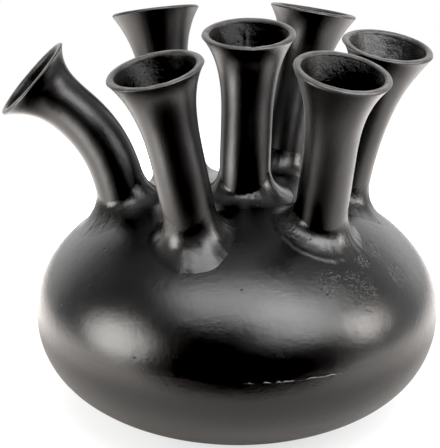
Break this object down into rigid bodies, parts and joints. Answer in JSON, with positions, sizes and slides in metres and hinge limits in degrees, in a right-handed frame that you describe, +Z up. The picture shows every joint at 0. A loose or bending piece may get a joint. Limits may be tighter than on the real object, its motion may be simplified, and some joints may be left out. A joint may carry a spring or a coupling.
{
  "type": "tulip vase",
  "caption": "Flattened round vase of black cast metal with curved trumpet necks of even bore standing on its shoulder, one in the middle and the rest in a ring, for single stems.",
  "frame": {"origin": "middle of the underside, on the surface that the vase stands on", "axes": "+Z up, the front of the vase looks along -Y, +X to the right as seen from the front"},
  "size_m": [0.3222, 0.3, 0.2938],
  "materials": {
    "cast_metal": "black, semi-matt, over fine cast grain",
    "weld_metal": "black, semi-matt, lumpy",
    "felt": "dark wool felt"
  },
  "bodies": {
    "root": {"foot_felt_pad": "felt", "body_lower_shell": "cast_metal", "body_upper_shell": "cast_metal", "seam_weld": "weld_metal", "neck_centre": "cast_metal", "neck_right": "cast_metal", "neck_back_right": "cast_metal", "neck_back_left": "cast_metal", "neck_left": "cast_metal", "neck_front_left": "cast_metal", "neck_front_right": "cast_metal", "weld_centre": "weld_metal", "weld_right": "weld_metal", "weld_back_right": "weld_metal", "weld_back_left": "weld_metal", "weld_left": "weld_metal", "weld_front_left": "weld_metal", "weld_front_right": "weld_metal"}
  },
  "joints": []
}
